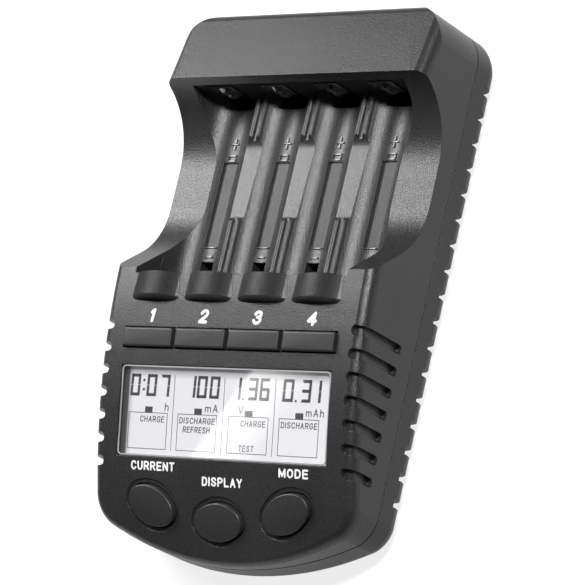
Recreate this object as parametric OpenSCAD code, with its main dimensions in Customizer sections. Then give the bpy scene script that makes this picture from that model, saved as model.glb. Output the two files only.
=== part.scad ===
// Four-slot charger for AA and AAA cells, lying on its back.
// +Y points to the hood and +Z away from the table. Heights are taken from the back of the case.

/* [Case] */
// Width of the case
case_w = 75.4; // [74.8:0.2:80]
// Length of the case
case_l = 129; // [124:0.5:134]
// Wall thickness of both shells
wall = 2; // [1.6:0.1:2.2]
// Height of the parting line
split_h = 9.2; // [8.8:0.1:9.6]
// Plan radius of the hood's corners
hood_corner_r = 10; // [8:0.5:12]
// Plan radius of the chin's bow
chin_r = 81; // [75:1:100]
// Plan radius of the chin's corners
chin_corner_r = 8; // [7:0.5:10]
// Rounding of the front edges
edge_r = 3; // [2:0.1:3.5]
// Rounding of the back edges
back_r = 5; // [4:0.5:5.5]
// Width of the shadow groove at the parting line
groove_w = 0.3; // [0.2:0.05:0.5]
// Depth of the shadow groove
groove_d = 0.6; // [0.4:0.1:0.8]

/* [Hood] */
// Length of the hood from its lip to the end wall
hood_l = 17.5; // [16:0.5:19]
// Height of the lip
lip_h = 28; // [27:0.1:28.6]
// Slope of the hood's face, in degrees
hood_tilt = 11.4; // [8:0.2:14]
// Depth of the wall behind the lip
lip_band = 1; // [0.8:0.1:1.2]

/* [Cells] */
// Diameter of an AA cell
cell_d = 14.5; // [14.2:0.1:14.6]
// Length of an AA cell
cell_l = 50.5; // [50:0.1:51]
// Length of an AAA cell
small_cell_l = 44.5; // [44:0.1:45]
// Distance between neighbouring cells
pitch = 15.5; // [15.4:0.1:15.8]
// Height of the AA cells' axis
axis_h = 21.8; // [21.6:0.1:22]
// Play around an AA cell
cell_play = 0.15; // [0.1:0.05:0.2]

/* [Bay] */
// Height of the rims at the valley's bottom
rim_h = 15.4; // [15:0.1:16]
// Radius of the valley under the hood
valley_hood_r = 19; // [18:0.5:20]
// Radius of the valley before the ramp
valley_ramp_r = 17; // [15:0.5:18]
// Angle of the ramp up to the panel, in degrees
ramp_angle = 51; // [48:1:54]
// Foot of the humps left open by the ramp
ramp_step = 1.4; // [1:0.1:2]
// Height of the ribs between the channels
rib_h = 17.9; // [17.7:0.1:18.3]
// Radius of the two ridges along each rib
ridge_r = 0.75; // [0.6:0.05:0.8]
// Distance between the two ridges of a rib
ridge_gap = 2.3; // [2.2:0.05:2.4]
// Height of the scooped stretch at its upper end
scoop_h = 16.6; // [16.4:0.1:17]
// Rise of the scooped stretch towards the humps, in degrees
scoop_tilt = 1.4; // [1:0.1:2]
// Length of the scooped stretch
scoop_l = 16.3; // [14:0.1:18]
// Distance from the hood's wall to the scooped stretch
scoop_start = 13; // [12:0.1:14]
// Radius at the scoop's upper end
scoop_upper_r = 4.4; // [3:0.1:5]
// Radius at the scoop's lower end
scoop_lower_r = 1.5; // [1:0.1:2]
// Distance from the hood's wall to the sunk cell mark of a channel
mark_start = 15.2; // [14:0.1:16]
// Length of the sunk cell mark
mark_l = 20.8; // [18:0.1:22]
// Width of the sunk cell mark
mark_w = 4.2; // [3.6:0.1:4.6]
// Depth of the sunk cell mark
mark_d = 0.3; // [0.2:0.05:0.5]
// Thickness of the channel floor
floor_t = 2.8; // [2.2:0.1:3]

/* [Humps] */
// Length of the humps along the cells
hump_l = 6.4; // [5.6:0.1:7]
// Radius of a hump's top
hump_r = 12; // [11:0.5:14]
// Height of a hump's crest
hump_h = 31.4; // [31:0.1:32]
// Rounding of a hump's lower edge
hump_edge_r = 1.2; // [0.8:0.1:1.5]
// Thickness of the humps' end wall
hump_t = 0.9; // [0.8:0.1:1.2]
// Room behind an AA cell's lower end for its pressed leaf
end_room = 1.9; // [1.8:0.1:2.2]

/* [Panel] */
// Radius of the panel's bow in side view
panel_r = 152; // [140:1:165]
// Height of the bow's crest
crest_h = 29.7; // [29.2:0.1:30]
// Place of the bow's crest along the case
crest_y = 5.3; // [3:0.1:7]
// Gap between the humps and the slot keys
bar_gap = 6.4; // [6:0.1:7]
// Gap between the slot keys and the pane
pane_gap = 3.85; // [3.5:0.05:4.2]
// Gap between the pane and the oval keys
oval_gap = 5.55; // [5:0.05:6]
// Gap between the middle oval key and the chin
chin_gap = 4.3; // [4:0.1:5]

/* [Vents] */
// Distance between the side slots
vent_pitch = 5.07; // [4.8:0.01:5.4]
// Width of a slot
vent_w = 2.2; // [1.8:0.1:2.6]
// Depth of a slot
vent_d = 1.3; // [1:0.1:1.4]
// Distance of the first slot from the humps
vent_start = 5.7; // [5:0.1:6]
// Distance of the last slot from the chin
vent_end = 20.3; // [19:0.1:22]
// Reach of a slot into the panel
vent_reach = 3.5; // [3.2:0.1:3.9]
// Height of the slots' lower ends
vent_h = 14.2; // [13.5:0.1:15]
// Distance between the notches in the back edges
notch_pitch = 6.06; // [5.8:0.02:6.4]
// Width of a notch
notch_w = 2.1; // [1.6:0.1:2.6]
// Height of a notch up the side
notch_h = 5.2; // [4.8:0.1:5.4]
// Reach of a notch under the back
notch_reach = 4.8; // [4.4:0.1:5]
// Distance of the first notch from the hood's end
notch_start = 13.2; // [12:0.1:14]
// Distance of the last notch from the chin
notch_end = 18.9; // [18:0.1:20]

/* [Display] */
// Distance of the pane from the case's sides
pane_side = 7.5; // [7:0.1:8.5]
// Thickness of the pane
pane_t = 1; // [0.8:0.1:1.1]
// Depth of the pane below the panel
pane_sink = 0.4; // [0.3:0.05:0.5]
// Width of the ledge under the pane
pane_ledge = 1.1; // [0.8:0.1:1.3]
// Thickness of the display's glass
glass_t = 2; // [1.8:0.1:2.2]
// Gap between the pane and the glass
glass_gap = 1.3; // [1:0.1:1.5]
// Reach of the glass past the pane's edges
glass_lap = 0.5; // [0.4:0.1:0.8]
// Wall of the display's holder
frame_t = 1; // [0.8:0.1:1.2]
// Width of the rubber connector
zebra_t = 2.2; // [2:0.1:2.4]

/* [Keys] */
// Web between neighbouring slot keys
bar_web = 1.1; // [1:0.1:1.5]
// Length of a slot key along the panel
bar_l = 4.4; // [4:0.1:4.8]
// Radius of a slot key's domed top
bar_top_r = 30; // [20:1:40]
// Width of an oval key
oval_w = 13.4; // [12.6:0.1:13.6]
// Height of an oval key
oval_l = 8.8; // [8.2:0.1:9]
// Distance of the outer oval keys from the case's sides
oval_side = 18.3; // [18:0.1:19]
// Drop of the middle oval key below the outer ones
oval_drop = 2.6; // [2.2:0.1:2.8]
// Turn of the outer oval keys, in degrees
oval_turn = 22; // [15:1:25]
// Width of the shallow ring around an oval key
ring_w = 1; // [0.6:0.1:1.2]
// Depth of the shallow ring
ring_d = 0.35; // [0.2:0.05:0.5]
// Height of the keys above the panel
key_proud = 1; // [0.8:0.1:1.2]
// Gap around the keys
key_gap = 0.3; // [0.25:0.05:0.4]
// Travel of the keys
key_travel = 0.6; // [0.4:0.1:0.7]
// Reach of a key's flange under the panel
flange_w = 1; // [0.8:0.1:1.2]
// Thickness of a key's flange
flange_t = 0.9; // [0.7:0.1:1]
// Gap between a flange and the panel
flange_gap = 0.3; // [0.2:0.05:0.4]

/* [Boards] */
// Thickness of the circuit boards
board_t = 1.6; // [1.4:0.1:1.6]
// Height of the main board's underside
board_h = 6.6; // [6.4:0.1:6.8]
// Depth of the display board below the panel at the lowest key
display_depth = 7.2; // [7:0.1:7.6]
// Size of a tact switch
switch_w = 6; // [5.5:0.1:6.2]
// Height of a tact switch's body
switch_h = 2; // [1.8:0.1:2.2]
// Diameter of a tact switch's plunger
plunger_d = 2.4; // [2:0.1:2.6]
// Gap between a pressed key and its plunger
plunger_gap = 0.3; // [0.3:0.05:0.5]

/* [Contacts] */
// Thickness of the contact sheet
sheet_t = 0.4; // [0.3:0.05:0.5]
// Width of a contact
contact_w = 7; // [6:0.2:8]
// Height of a contact's dome
dome_h = 0.6; // [0.5:0.05:0.7]
// Radius of a contact's dome
dome_r = 2; // [1.6:0.1:2.4]
// Spring of a leaf against an AA cell
leaf_preload = 1.6; // [1.2:0.1:1.8]
// Angle that a leaf bends through, in degrees
leaf_bend = 8.5; // [7:0.1:8.6]
// Spring of a tab against an AAA cell
tab_preload = 0.9; // [0.6:0.1:1.2]
// Width of a tab
tab_w = 3; // [2.6:0.1:3.2]
// Height of a tab's tip
tab_top = 17; // [16.8:0.1:17.2]
// Distance of a tab's tip from its foot along the case
tab_lean = 3.4; // [3:0.1:3.6]
// Angle that a tab is pressed down through, in degrees
tab_bend = 32; // [30:1:33]
// Radius of the sprung contacts' rolled feet
roll_r = 0.6; // [0.5:0.05:0.7]

/* [Fixings] */
// Diameter of the screws
screw_d = 2.2; // [2:0.1:2.4]
// Diameter of the screw heads
head_d = 4; // [3.8:0.1:4.2]
// Height of the screw heads
head_h = 1.6; // [1.4:0.1:1.8]
// Length of the case screws
case_screw_l = 9; // [8.5:0.1:9.5]
// Length of the boards' screws
board_screw_l = 5; // [4.5:0.1:5.5]
// Spare depth of the bores past the screws' tips
bore_spare = 1; // [0.6:0.1:1.2]
// Diameter of the case screws' bosses
boss_d = 5.6; // [5.4:0.1:6]
// Diameter of the display board's bosses
small_boss_d = 4.4; // [4.2:0.1:4.6]
// Wall of the tubes around the case screws' heads
tube_t = 1.3; // [1.1:0.1:1.5]
// Thickness of the case screws' seats
seat_t = 3; // [2.6:0.1:3.2]
// Diameter of the rubber feet
foot_d = 8; // [7:0.5:9]
// Thickness of the rubber feet
foot_t = 2; // [1.8:0.1:2.2]
// Height of the feet below the back
foot_proud = 1.2; // [1:0.1:1.4]
// Distance of the feet from the case's sides
foot_side = 10.7; // [10:0.1:12]
// Distance of the feet from the hood's end
foot_top = 21.5; // [20:0.5:24]
// Distance of the feet from the chin
foot_low = 24.5; // [23:0.5:27]
// Play between pieces that are put together
play = 0.15; // [0.1:0.05:0.2]

/* [Inlet] */
// Width of the inlet
jack_w = 9; // [8.6:0.1:9.4]
// Length of the inlet
jack_l = 13.5; // [13:0.1:14]
// Height of the inlet
jack_h = 11; // [10.6:0.1:11.4]
// Height of the inlet's bore above the main board
jack_rise = 6.5; // [6.2:0.1:6.8]
// Diameter of the inlet's bore
bore_d = 6.3; // [6:0.1:6.5]
// Depth of the inlet's bore
bore_l = 10; // [9:0.1:11]
// Diameter of the inlet's centre pin
pin_d = 2; // [1.9:0.05:2.1]
// Diameter of the hole in the end wall
inlet_d = 8.4; // [8:0.1:8.8]

/* [Hidden] */
$fn = 96;
far = 200;
slots = [-1.5, -0.5, 0.5, 1.5];
edge_ease = 0.03;
corner_ease = 0.09;
least_r = 0.3;
y_top = case_l / 2;
y_chin = -case_l / 2;
side_x = case_w / 2;
board_top = board_h + board_t;

// Bay, from the hood's wall down to the humps.
channel_r = cell_d / 2 + cell_play;
floor_top = axis_h - channel_r;
floor_under = floor_top - floor_t;
dome_sink = 0.2;
lip_y = y_top - hood_l;
wall_y = lip_y - lip_band;
plus_y = wall_y - sheet_t - dome_h + dome_sink;
minus_y = plus_y - cell_l;
leaf_y = minus_y + leaf_preload;
slot_end_y = minus_y - end_room;
hump_y1 = slot_end_y - hump_t;
hump_y0 = hump_y1 + hump_l;
outer_x = 1.5 * pitch;
bay_x = outer_x + channel_r;

// Panel bow: slope and height at a place along the case.
function panel_a(y) = asin((crest_y - y) / panel_r);
function panel_z(y) = crest_h - panel_r * (1 - cos(panel_a(y)));

// Valley of the rims in side view.
ramp_y = hump_y0 + ramp_step;
flat_y1 = lip_y - sqrt(pow(valley_hood_r, 2) - pow(valley_hood_r - lip_h + rim_h, 2));
ramp_rise = panel_z(ramp_y) - rim_h - valley_ramp_r * (1 - cos(ramp_angle));
ramp_foot_y = ramp_y + ramp_rise / tan(ramp_angle);
flat_y0 = ramp_foot_y + valley_ramp_r * sin(ramp_angle);

// Chin corners touch the side and the bow.
bow_y = y_chin + chin_r;
corner_x = side_x - chin_corner_r;
corner_y = bow_y - sqrt(pow(chin_r - chin_corner_r, 2) - pow(corner_x, 2));
corner_a = acos(corner_x / (chin_r - chin_corner_r));

// Keys and pane share the panel between the humps and the chin. The gaps are drawn for a panel of the plain
// length and stretch with it.
panel_plain_l = 56.4;
stretch = (hump_y1 - y_chin) / panel_plain_l;
bar_w = pitch - bar_web;
bar_y = hump_y1 - stretch * bar_gap - bar_l / 2;
oval_x = side_x - oval_side;
oval_y = y_chin + stretch * chin_gap + oval_l / 2 + oval_drop;
low_key_y = oval_y - oval_drop;
pane_w = case_w - 2 * pane_side;
pane_high_y = bar_y - bar_l / 2 - stretch * pane_gap;
pane_low_y = oval_y + oval_l / 2 + stretch * oval_gap;
pane_l = pane_high_y - pane_low_y;
pane_y = (pane_high_y + pane_low_y) / 2;
pane_a = panel_a(pane_y);
pane_z = panel_z(pane_y);

// Keys: sideways place, place along the case and turn.
bars = [for (s = slots) [s * pitch, bar_y, 0]];
ovals = [[-oval_x, oval_y, -oval_turn], [0, low_key_y, 0], [oval_x, oval_y, oval_turn]];
key_low = -wall - flange_gap - flange_t;

// A point inward from the panel, its place up the slope of the pane and its height above the pane's plane.
function inward(y, d) = [y + d * sin(panel_a(y)), panel_z(y) - d * cos(panel_a(y))];
function slope_l(p) = (p[0] - pane_y) * cos(pane_a) + (p[1] - pane_z) * sin(pane_a);
function slope_h(p) = (p[1] - pane_z) * cos(pane_a) - (p[0] - pane_y) * sin(pane_a);
function switch_l(y) = slope_l(inward(y, -key_low));
function plunger_h(y) = board_depth + slope_h(inward(y, -key_low)) - key_travel - plunger_gap;

// Display stack, in depths below the pane's plane and places up its slope.
board_depth = display_depth - slope_h([low_key_y, panel_z(low_key_y)]);
glass_top = -pane_sink - pane_t - glass_gap;
glass_w = pane_w + 2 * glass_lap;
glass_l = pane_l + 2 * glass_lap;
frame_w = glass_w + 2 * frame_t;
frame_l = glass_l + 2 * frame_t;
frame_rib = 2;
zebra_end = 5.7;
zebra_in = 2;
zebra_w = glass_w - 2 * zebra_end;
zebra_y = -glass_l / 2 + zebra_in;

// Height of the display board's underside at a place along the case.
function under_z(y) = pane_z + (y - pane_y) * tan(pane_a) - (board_depth + board_t) / cos(pane_a);

// Pivots of the sprung contacts.
roll_gap = 0.3;
pivot_z = board_top + roll_r + roll_gap;
leaf_back_y = leaf_y - dome_h - sheet_t / 2;
tab_y = plus_y - small_cell_l + tab_preload;
tab_pivot_y = tab_y - tab_lean;
tab_l = sqrt(pow(tab_lean, 2) + pow(tab_top - pivot_z, 2));
tab_angle = atan2(tab_top - pivot_z, tab_lean);

// Screws and feet.
tube_d = head_d + 4 * play + 2 * tube_t;
hood_screw_in = [9.7, 8.5];
chin_screw_in = 5.3;
chin_screw_up = 0.7;
board_in = 4.5;
board_screw_in = 7;
board_screw_top = 8;
board_screw_low = 5;
display_edge = 0.4;
display_screw_in = 2;
display_screw_gap = 0.2;
narrow_w = 2 * (side_x - chin_screw_in - boss_d / 2 - display_edge);
hood_screws_at = [for (s = [-1, 1]) [s * (side_x - hood_screw_in[0]), y_top - hood_screw_in[1]]];
chin_screws_at = [for (s = [-1, 1]) [s * (side_x - chin_screw_in), corner_y + chin_screw_up]];
case_screws_at = concat(hood_screws_at, chin_screws_at);
board_screws_at = [for (s = [-1, 1], y = [wall_y - board_screw_top, hump_y0 + board_screw_low])
    [s * (side_x - board_screw_in), y]];
display_screws_at = [for (s = [-1, 1])
    [s * (narrow_w / 2 - display_screw_in), -frame_l / 2 - small_boss_d / 2 - display_screw_gap]];
feet_at = [for (s = [-1, 1], y = [y_top - foot_top, y_chin + foot_low]) [s * (side_x - foot_side), y]];

// Inlet in the hood's end wall, on a tab of the main board.
jack_axis = board_top + jack_rise;
jack_y = y_top - wall - play;
jack_margin = 3;
jack_tab_w = jack_w + 2 * jack_margin;

// Everything stands on the rubber feet.
module lift() {
    translate([0, 0, foot_proud]) children();
}

// A place on the panel, with local Z along its normal and local Y up its slope.
module on_panel(x, y) {
    translate([x, y, panel_z(y)]) rotate([panel_a(y), 0, 0]) children();
}

// A side view, with its first axis along Y and its second along Z, run across the case.
module side_view(w) {
    rotate([90, 0, 90]) linear_extrude(w, center = true) children();
}

// A bar along Y from a place to another.
module along_y(x, z, y0, y1) {
    translate([x, y0, z]) rotate([-90, 0, 0]) linear_extrude(y1 - y0) mirror([0, 1]) children();
}

// A box from one corner to the other.
module span(from, to) {
    translate(from) cube(to - from);
}

// What a rounding takes off a corner between two directions, in degrees. It starts just past the faces it
// rounds, by the ease, so that its own face crosses theirs.
module round_waste(r, from, to, ease = edge_ease) {
    reach = 2 * r + 4;
    middle = (from + to) / 2;
    difference() {
        polygon([[0, 0], reach * [cos(from), sin(from)], 1.5 * reach * [cos(middle), sin(middle)],
            reach * [cos(to), sin(to)]]);
        circle(r + ease);
    }
}

// Both sides of the case, the second mirrored.
module both_sides() {
    children();
    mirror([1, 0, 0]) children();
}

// Plan outline of the case, drawn in by an inset.
module plan(inset = 0) {
    difference() {
        intersection() {
            square([case_w - 2 * inset, case_l - 2 * inset], center = true);
            translate([0, bow_y]) circle(chin_r - inset, $fn = 240);
        }
        for (s = [0, 1]) mirror([s, 0]) {
            translate([side_x - hood_corner_r, y_top - hood_corner_r])
                round_waste(hood_corner_r - inset, 0, 90);
            translate([corner_x, corner_y])
                round_waste(chin_corner_r - inset, -corner_a, 0);
        }
    }
}

// Section of the front with rounded long edges, its top at height zero. Its sides stand outside the plan.
module front_section(inset) {
    r = max(edge_r - inset, least_r);
    difference() {
        translate([-case_w, -far / 4]) square([2 * case_w, far / 4 - inset]);
        for (s = [0, 1]) mirror([s, 0]) {
            translate([side_x - inset - r, -inset - r]) round_waste(r, 0, 90);
            translate([side_x - inset - r, -inset - r]) translate([2 * r, 0]) square([case_w, far / 4]);
        }
    }
}

// The bowed panel, swept about the axis of its bow.
module panel_form(inset) {
    translate([0, crest_y, crest_h - panel_r]) rotate([0, 90, 0]) rotate([0, 0, 165])
        rotate_extrude(angle = 45, $fn = 360) translate([panel_r, 0]) rotate(-90) front_section(inset);
}

// The sloped hood.
module hood_form(inset) {
    translate([0, lip_y, lip_h]) rotate([-hood_tilt, 0, 0]) rotate([90, 0, 0])
        linear_extrude(far / 2, center = true) front_section(inset);
}

// What the rounding between the hood's face and its end wall takes off.
module hood_end_waste(inset) {
    y = y_top - edge_r;
    z = lip_h - tan(hood_tilt) * (y - lip_y) - edge_r / cos(hood_tilt);
    side_view(far) translate([y, z]) round_waste(max(edge_r - inset, least_r), 0, 90 - hood_tilt);
}

// What the rounding between the panel and the chin takes off.
module chin_waste(inset) {
    touch_y = y_chin + 2 * edge_r + 2;
    y = y_chin + edge_r;
    a = panel_a(touch_y);
    tube_r = (chin_r - edge_r) * cos(a);
    z = panel_z(touch_y) - tan(a) * (touch_y - y) - edge_r / cos(a);
    translate([0, y, z]) rotate([a, 0, 0]) translate([0, tube_r, 0]) rotate([0, 0, -125])
        rotate_extrude(angle = 70, $fn = 240) translate([tube_r, 0])
            round_waste(max(edge_r - inset, least_r), a, 90);
}

// What the roundings at the chin's two corners take off. The sweep lies along the slope, so it is moved
// down to end on the chin.
module chin_corner_waste(inset) {
    r = edge_r;
    a = panel_a(corner_y);
    down = (chin_corner_r - r) * sin(corner_a) * (1 - cos(a));
    both_sides() translate([0, -down, 0]) on_panel(corner_x, corner_y) translate([0, 0, -r])
        rotate([0, 0, -corner_a]) rotate_extrude(angle = corner_a) translate([chin_corner_r - r, 0])
            round_waste(max(r - inset, least_r), a / 2, 90, corner_ease);
}

// The front of the case above a height, still without its bay.
module front_form(inset, from) {
    middle = (flat_y0 + flat_y1) / 2;
    difference() {
        intersection() {
            union() {
                intersection() {
                    panel_form(inset);
                    span([-far, -far, -1], [far, middle, far]);
                }
                intersection() {
                    hood_form(inset);
                    span([-far, middle, -1], [far, far, far]);
                }
            }
            translate([0, 0, from]) linear_extrude(far / 4) plan(inset);
        }
        hood_end_waste(inset);
        chin_waste(inset);
        chin_corner_waste(inset);
    }
}

// The valley that the rims follow, as a side view.
module valley() {
    ramp_l = 2 * ramp_rise;
    foot = [ramp_foot_y, rim_h + valley_ramp_r * (1 - cos(ramp_angle))];
    top = foot + ramp_l * [-cos(ramp_angle), sin(ramp_angle)];
    translate([flat_y1, rim_h + valley_hood_r]) circle(valley_hood_r);
    translate([flat_y0, rim_h + valley_ramp_r]) circle(valley_ramp_r);
    translate([flat_y0, rim_h]) square([flat_y1 - flat_y0, far / 4]);
    polygon([foot, top, [flat_y0, top[1]], [flat_y0, rim_h + valley_ramp_r]]);
}

// The scooped stretch of the ribs, as a side view.
module scoop() {
    translate([wall_y - scoop_start, scoop_h]) rotate(-scoop_tilt) {
        translate([-scoop_l, 0]) square([scoop_l, far / 4]);
        translate([0, scoop_upper_r]) circle(scoop_upper_r);
        translate([-scoop_l, scoop_lower_r]) circle(scoop_lower_r);
    }
}

// The space over the ribs.
module rib_room() {
    span([-outer_x, hump_y0, floor_top + mark_d], [outer_x, wall_y, far]);
}

// Ribs between the channels, each with two round ridges along its top.
module ribs() {
    low_y = hump_y0 - 1;
    high_y = wall_y + 1;
    ridge_z = rib_h - ridge_r;
    difference() {
        union() {
            span([-outer_x, low_y, floor_under], [outer_x, high_y, ridge_z]);
            for (i = [-1, 0, 1], s = [-0.5, 0.5])
                along_y(i * pitch + s * ridge_gap, ridge_z, low_y, high_y) circle(ridge_r);
        }
        side_view(far) scoop();
    }
}

// Humps over the lower ends of the cells, rounded towards the keys.
module humps() {
    intersection() {
        for (s = slots) translate([s * pitch, hump_y1, hump_h - hump_r]) rotate([-90, 0, 0])
            rotate_extrude() difference() {
                square([hump_r, hump_l]);
                translate([hump_r - hump_edge_r, hump_edge_r]) round_waste(hump_edge_r, -90, 0);
            }
        span([-far, hump_y1 - 1, rib_h], [far, hump_y0 + 1, far]);
    }
}

// Room for the cells: channels, their cell marks and the open space above the cells' axes.
module cell_room() {
    leaf_room = 0.35;
    pocket_l = 2;
    pocket_x = contact_w / 2 + 2 * play;
    seat_x = contact_w / 2 + play;
    seat_top = axis_h + 3.2;
    leaf_x = contact_w / 2 + leaf_room;
    leaf_half = sheet_t / 2 + leaf_room;
    leaf_swing = (rim_h - pivot_z) * tan(leaf_bend);
    tab_x = tab_w / 2 + leaf_room;
    tab_end_y = tab_pivot_y + tab_l * cos(tab_angle - tab_bend) + 1;
    mark_y = wall_y - mark_start;
    under = floor_under - 1;
    for (s = slots) translate([s * pitch, 0, 0]) {
        along_y(0, axis_h, slot_end_y, wall_y) circle(channel_r);
        span([-mark_w / 2, mark_y - mark_l, floor_top - mark_d], [mark_w / 2, mark_y, axis_h]);
        // Pocket and seat of the plus contact
        span([-pocket_x, wall_y - pocket_l, under], [pocket_x, wall_y, axis_h]);
        span([-seat_x, wall_y - 1, under], [seat_x, wall_y + sheet_t / 2, seat_top]);
        // Slot for the leaf
        span([-leaf_x, leaf_back_y - leaf_half - leaf_swing, under], [leaf_x, leaf_back_y + leaf_half, axis_h]);
        // Slot for the tab
        span([-tab_x, tab_pivot_y + leaf_room, under], [tab_x, tab_end_y, axis_h]);
    }
    span([-bay_x - edge_ease, hump_y0, axis_h], [bay_x + edge_ease, wall_y, far]);
}

// Slots that run from the panel over its edge and down the side.
module vents() {
    r = vent_w / 2;
    high_y = hump_y1 - vent_start;
    count = round((high_y - y_chin - vent_end) / vent_pitch);
    difference() {
        both_sides() for (i = [0 : count])
            translate([side_x - vent_reach, high_y - i * vent_pitch, vent_h + r]) {
                span([r, -r, 0], [vent_reach + 1, r, far / 4]);
                translate([r, 0, 0]) cylinder(r = r, h = far / 4);
                rotate([0, 90, 0]) cylinder(r = r, h = vent_reach + 1);
            }
        front_form(vent_d, split_h - 1);
    }
}

// An oval of four arcs, the end ones just proud of the long ones.
module oval(w, l) {
    end_r = 0.375 * l;
    end_x = w / 2 - end_r;
    side_r = (end_x * end_x + l * l / 4 - end_r * end_r) / (l - 2 * end_r);
    touch_x = side_r * end_x / (side_r - end_r);
    intersection() {
        translate([0, l / 2 - side_r]) circle(side_r);
        translate([0, side_r - l / 2]) circle(side_r);
        square([2 * touch_x, 2 * l], center = true);
    }
    for (s = [-1, 1]) translate([s * end_x, 0]) circle(end_r + corner_ease);
}

// Openings of the keys, with a shallow ring around each oval one.
module key_openings() {
    hole = [bar_w / 2 + key_gap, bar_l / 2 + key_gap, 2 * wall];
    ring = 2 * (key_gap + ring_w);
    for (k = bars) on_panel(k[0], k[1]) span(-hole, hole);
    for (k = ovals) on_panel(k[0], k[1]) rotate([0, 0, k[2]]) {
        translate([0, 0, -2 * wall]) linear_extrude(4 * wall) oval(oval_w + 2 * key_gap, oval_l + 2 * key_gap);
        translate([0, 0, -ring_d]) linear_extrude(2 * wall) oval(oval_w + ring, oval_l + ring);
    }
}

// Seat of the pane and the view through to the display.
module pane_opening() {
    seat = [pane_w / 2 + play, pane_l / 2 + play];
    view = [pane_w / 2 - pane_ledge, pane_l / 2 - pane_ledge];
    on_panel(0, pane_y) {
        span([-seat[0], -seat[1], -pane_sink - pane_t], [seat[0], seat[1], wall]);
        span([-view[0], -view[1], -2 * wall], [view[0], view[1], wall]);
    }
}

// Inside of the front, which stays solid around the bay.
module front_hollow() {
    difference() {
        front_form(wall, split_h - 2);
        span([-far, hump_y1 - 1, floor_under], [far, wall_y + wall, far]);
    }
}

// Bosses inside the front for the case screws and the display board.
module front_bosses() {
    intersection() {
        front_form(wall / 2, split_h);
        union() {
            for (p = case_screws_at) translate([p[0], p[1], split_h]) cylinder(d = boss_d, h = far / 4);
            for (p = display_screws_at) on_panel(0, pane_y) translate([p[0], p[1], -board_depth])
                cylinder(d = small_boss_d, h = board_depth);
        }
    }
}

// Bores for the screws' threads.
module front_pilots() {
    case_thread = case_screw_l - seat_t + bore_spare;
    display_thread = board_screw_l - board_t + bore_spare;
    for (p = case_screws_at) translate([p[0], p[1], split_h - 1])
        cylinder(d = screw_d + 2 * play, h = case_thread + 1);
    for (p = display_screws_at) on_panel(0, pane_y) translate([p[0], p[1], -board_depth - 1])
        cylinder(d = screw_d + 2 * play, h = display_thread + 1);
}

module front_cover() {
    color("#2b2b2d") lift() difference() {
        union() {
            difference() {
                union() {
                    difference() {
                        front_form(0, split_h);
                        side_view(far) valley();
                        rib_room();
                    }
                    ribs();
                    humps();
                }
                cell_room();
                front_hollow();
            }
            front_bosses();
        }
        vents();
        key_openings();
        pane_opening();
        front_pilots();
        translate([0, y_top - wall - 1, jack_axis]) rotate([-90, 0, 0]) cylinder(d = inlet_d, h = wall + 2);
        // Shadow groove at the parting line
        translate([0, 0, split_h - 1]) linear_extrude(groove_w + 1) difference() {
            plan(-1);
            plan(groove_d);
        }
    }
}

// What the roundings along the back's straight sides, end and bowed chin take off.
module back_edge_waste(r) {
    both_sides() translate([side_x - back_r, 0, back_r]) rotate([90, 0, 0])
        linear_extrude(far, center = true) round_waste(r, -90, 0);
    side_view(far) translate([y_top - back_r, back_r]) round_waste(r, -90, 0);
    translate([0, bow_y, back_r]) rotate([0, 0, -125])
        rotate_extrude(angle = 70, $fn = 240) translate([chin_r - back_r, 0]) round_waste(r, -90, 0);
}

// The back of the case with its rounded edges and corners, drawn in by an inset.
module back_form(inset, to) {
    r = max(back_r - inset, least_r);
    difference() {
        difference() {
            difference() {
                translate([0, 0, inset]) linear_extrude(to - inset) plan(inset);
                back_edge_waste(r);
            }
            both_sides() translate([side_x - hood_corner_r, y_top - hood_corner_r, back_r])
                rotate_extrude(angle = 90) translate([hood_corner_r - back_r, 0])
                    round_waste(r, -90, 0, corner_ease);
        }
        both_sides() translate([corner_x, corner_y, back_r]) rotate([0, 0, -corner_a])
            rotate_extrude(angle = corner_a) translate([chin_corner_r - back_r, 0])
                round_waste(r, -90, 0, corner_ease);
    }
}

// Tubes for the case screws and posts for the main board.
module back_posts() {
    post_d = 5;
    intersection() {
        back_form(wall / 2, split_h);
        union() {
            for (p = case_screws_at) translate([p[0], p[1], 0]) cylinder(d = tube_d, h = split_h);
            for (p = board_screws_at) translate([p[0], p[1], 0]) cylinder(d = post_d, h = board_h);
        }
    }
}

// Tongue that centres the back in the front, open at the front's bosses and at the inlet.
module tongue() {
    tongue_h = 1.4;
    tongue_t = 1;
    root_h = 1.5;
    inner = wall + play + tongue_t;
    gap_x = jack_tab_w / 2 + 2 * play;
    difference() {
        union() {
            translate([0, 0, split_h - root_h]) linear_extrude(root_h) difference() {
                plan(wall / 2);
                plan(inner);
            }
            translate([0, 0, split_h - root_h]) linear_extrude(root_h + tongue_h) difference() {
                plan(wall + play);
                plan(inner);
            }
        }
        for (p = case_screws_at) translate([p[0], p[1], split_h])
            cylinder(d = boss_d + 4 * play, h = tongue_h + 1);
        span([-gap_x, y_top - inner - 1, 0], [gap_x, y_top - wall, far]);
    }
}

// Slanted notches across the rounded back edges.
module notches() {
    high_y = y_top - notch_start;
    count = round((case_l - notch_start - notch_end) / notch_pitch);
    slant = notch_h / notch_reach;
    both_sides() for (i = [0 : count])
        along_y(side_x, 0, high_y - i * notch_pitch - notch_w / 2, high_y - i * notch_pitch + notch_w / 2)
            polygon([[-notch_reach - 1, -slant], [1, notch_h + slant], [1, -slant]]);
}

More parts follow.
